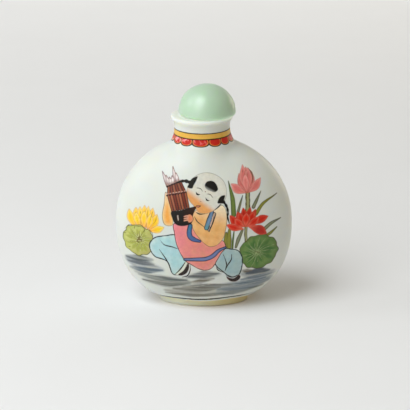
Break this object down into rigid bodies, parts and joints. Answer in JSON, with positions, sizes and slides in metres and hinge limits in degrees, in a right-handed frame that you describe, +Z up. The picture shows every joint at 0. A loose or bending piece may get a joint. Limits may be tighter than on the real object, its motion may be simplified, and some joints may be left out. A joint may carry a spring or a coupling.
{
  "type": "snuff bottle",
  "caption": "Flattened round snuff bottle of opal glass with enamel painting, waisted neck, oval foot ring and a domed stopper on a cork.",
  "frame": {"origin": "on the plane the foot stands on, under the middle of the body", "axes": "+Z up through the neck, +X along the width, -Y towards the painted front"},
  "size_m": [0.056, 0.0336, 0.0709],
  "materials": {
    "opal_glass": "polished opaque white glass with enamel painting",
    "jade_glass": "satin-polished cloudy green glass",
    "cork": "bare cork"
  },
  "bodies": {
    "root": {"bottle": "opal_glass", "stopper_dome": "jade_glass", "stopper_cork": "cork"}
  },
  "joints": []
}
